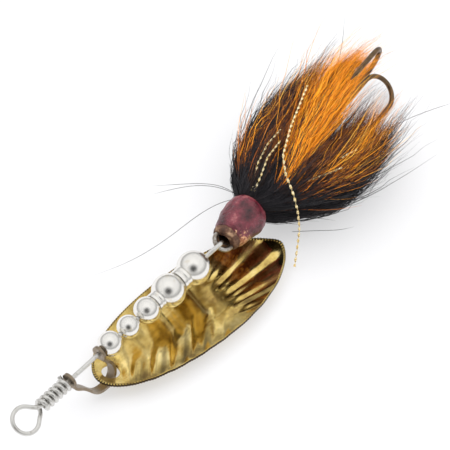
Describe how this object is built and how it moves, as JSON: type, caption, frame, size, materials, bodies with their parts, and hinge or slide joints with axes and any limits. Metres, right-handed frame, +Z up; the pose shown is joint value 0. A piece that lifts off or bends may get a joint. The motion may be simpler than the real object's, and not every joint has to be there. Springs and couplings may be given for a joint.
{
  "type": "inline spinner fishing lure",
  "caption": "Inline spinner: a wire shaft with line eye, spinning bowl-shaped blade on a clevis, plated body beads and a hair-dressed treble hook.",
  "frame": {"origin": "centre of the line eye at the front of the shaft wire, on the shaft's axis", "axes": "+X along the shaft from the line eye towards the hook, +Z up as the lure lies on a table, hollow side of the blade up"},
  "size_m": [0.125, 0.033, 0.0168],
  "materials": {
    "steel_wire": "drawn stainless wire, lightly tarnished",
    "clevis_nickel": "tarnished plated strap",
    "blade_brass": "polished stamped brass, lacquered and slightly worn",
    "bead_nickel": "polished nickel-plated",
    "hook_bronze": "bronzed steel wire",
    "thread_tan": "waxed tying thread",
    "lacquer_red": "thick glossy lacquer over thread",
    "hair_black": "natural hair dyed black",
    "hair_orange": "natural hair dyed orange",
    "hair_brown": "natural hair, brown and orange mixed",
    "tinsel_gold": "twisted metallised film"
  },
  "bodies": {
    "shaft": {"shaft_wire": "steel_wire"},
    "clevis": {"clevis": "clevis_nickel"},
    "blade": {"blade": "blade_brass"},
    "bead_1": {"bead_1": "bead_nickel"},
    "bead_2": {"bead_2": "bead_nickel"},
    "bead_3": {"bead_3": "bead_nickel"},
    "bead_4": {"bead_4": "bead_nickel"},
    "bead_5": {"bead_5": "bead_nickel"},
    "collar_1": {"collar_1": "bead_nickel"},
    "collar_2": {"collar_2": "bead_nickel"},
    "hook": {"hook_double": "hook_bronze", "hook_single": "hook_bronze", "thread_wrap": "thread_tan", "head_lacquer": "lacquer_red", "hair_black_left": "hair_black", "hair_orange": "hair_orange", "hair_brown": "hair_brown", "hair_black_right": "hair_black", "hair_black_under": "hair_black", "tinsel_long": "tinsel_gold", "tinsel_short": "tinsel_gold"}
  },
  "joints": [
    {"name": "clevis_spin", "type": "hinge", "parent": "shaft", "child": "clevis", "pos_m": [0.01728, 0, 0], "axis": [1, 0, 0], "continuous": true},
    {"name": "blade_swing", "type": "hinge", "parent": "clevis", "child": "blade", "pos_m": [0.0206, -0.00146, -0.00509], "axis": [0, 0.9613, -0.2756], "range_deg": [0, 50]},
    {"name": "bead_1_spin", "type": "hinge", "parent": "shaft", "child": "bead_1", "pos_m": [0.0249, 0, 0], "axis": [1, 0, 0], "continuous": true},
    {"name": "bead_2_spin", "type": "hinge", "parent": "shaft", "child": "bead_2", "pos_m": [0.0305, 0, 0], "axis": [1, 0, 0], "continuous": true},
    {"name": "bead_3_spin", "type": "hinge", "parent": "shaft", "child": "bead_3", "pos_m": [0.0361, 0, 0], "axis": [1, 0, 0], "continuous": true},
    {"name": "bead_4_spin", "type": "hinge", "parent": "shaft", "child": "bead_4", "pos_m": [0.04275, 0, 0], "axis": [1, 0, 0], "continuous": true},
    {"name": "bead_5_spin", "type": "hinge", "parent": "shaft", "child": "bead_5", "pos_m": [0.0505, 0, 0], "axis": [1, 0, 0], "continuous": true},
    {"name": "collar_1_spin", "type": "hinge", "parent": "shaft", "child": "collar_1", "pos_m": [0.03902, 0, 0], "axis": [1, 0, 0], "continuous": true},
    {"name": "collar_2_spin", "type": "hinge", "parent": "shaft", "child": "collar_2", "pos_m": [0.0466, 0, 0], "axis": [1, 0, 0], "continuous": true},
    {"name": "hook_swing", "type": "hinge", "parent": "shaft", "child": "hook", "pos_m": [0.0599, 0, 0], "axis": [0, -0.4695, 0.8829], "range_deg": [-8, 50]}
  ]
}
